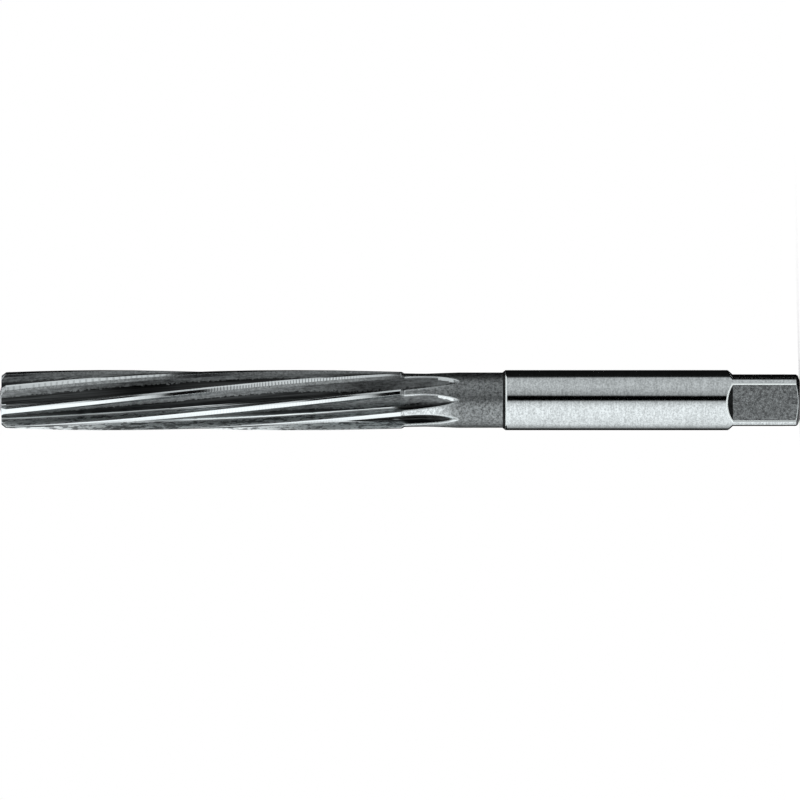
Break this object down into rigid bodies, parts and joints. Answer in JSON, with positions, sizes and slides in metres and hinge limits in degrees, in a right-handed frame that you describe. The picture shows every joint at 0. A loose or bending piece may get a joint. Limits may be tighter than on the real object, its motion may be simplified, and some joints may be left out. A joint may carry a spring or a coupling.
{
  "type": "hand reamer",
  "caption": "Hand reamer with left-hand spiral flutes, a tapered lead, a slim neck, a plain cylindrical shank and a square drive end.",
  "frame": {"origin": "centre of the end face of the driving square, where the tool stands", "axes": "+Z along the tool's axis from the driving square to the cutting end, X and Y square to the driving flats"},
  "size_m": [0.01, 0.01, 0.133],
  "materials": {
    "tool_steel": "ground, bright satin"
  },
  "bodies": {
    "root": {"reamer": "tool_steel"}
  },
  "joints": []
}
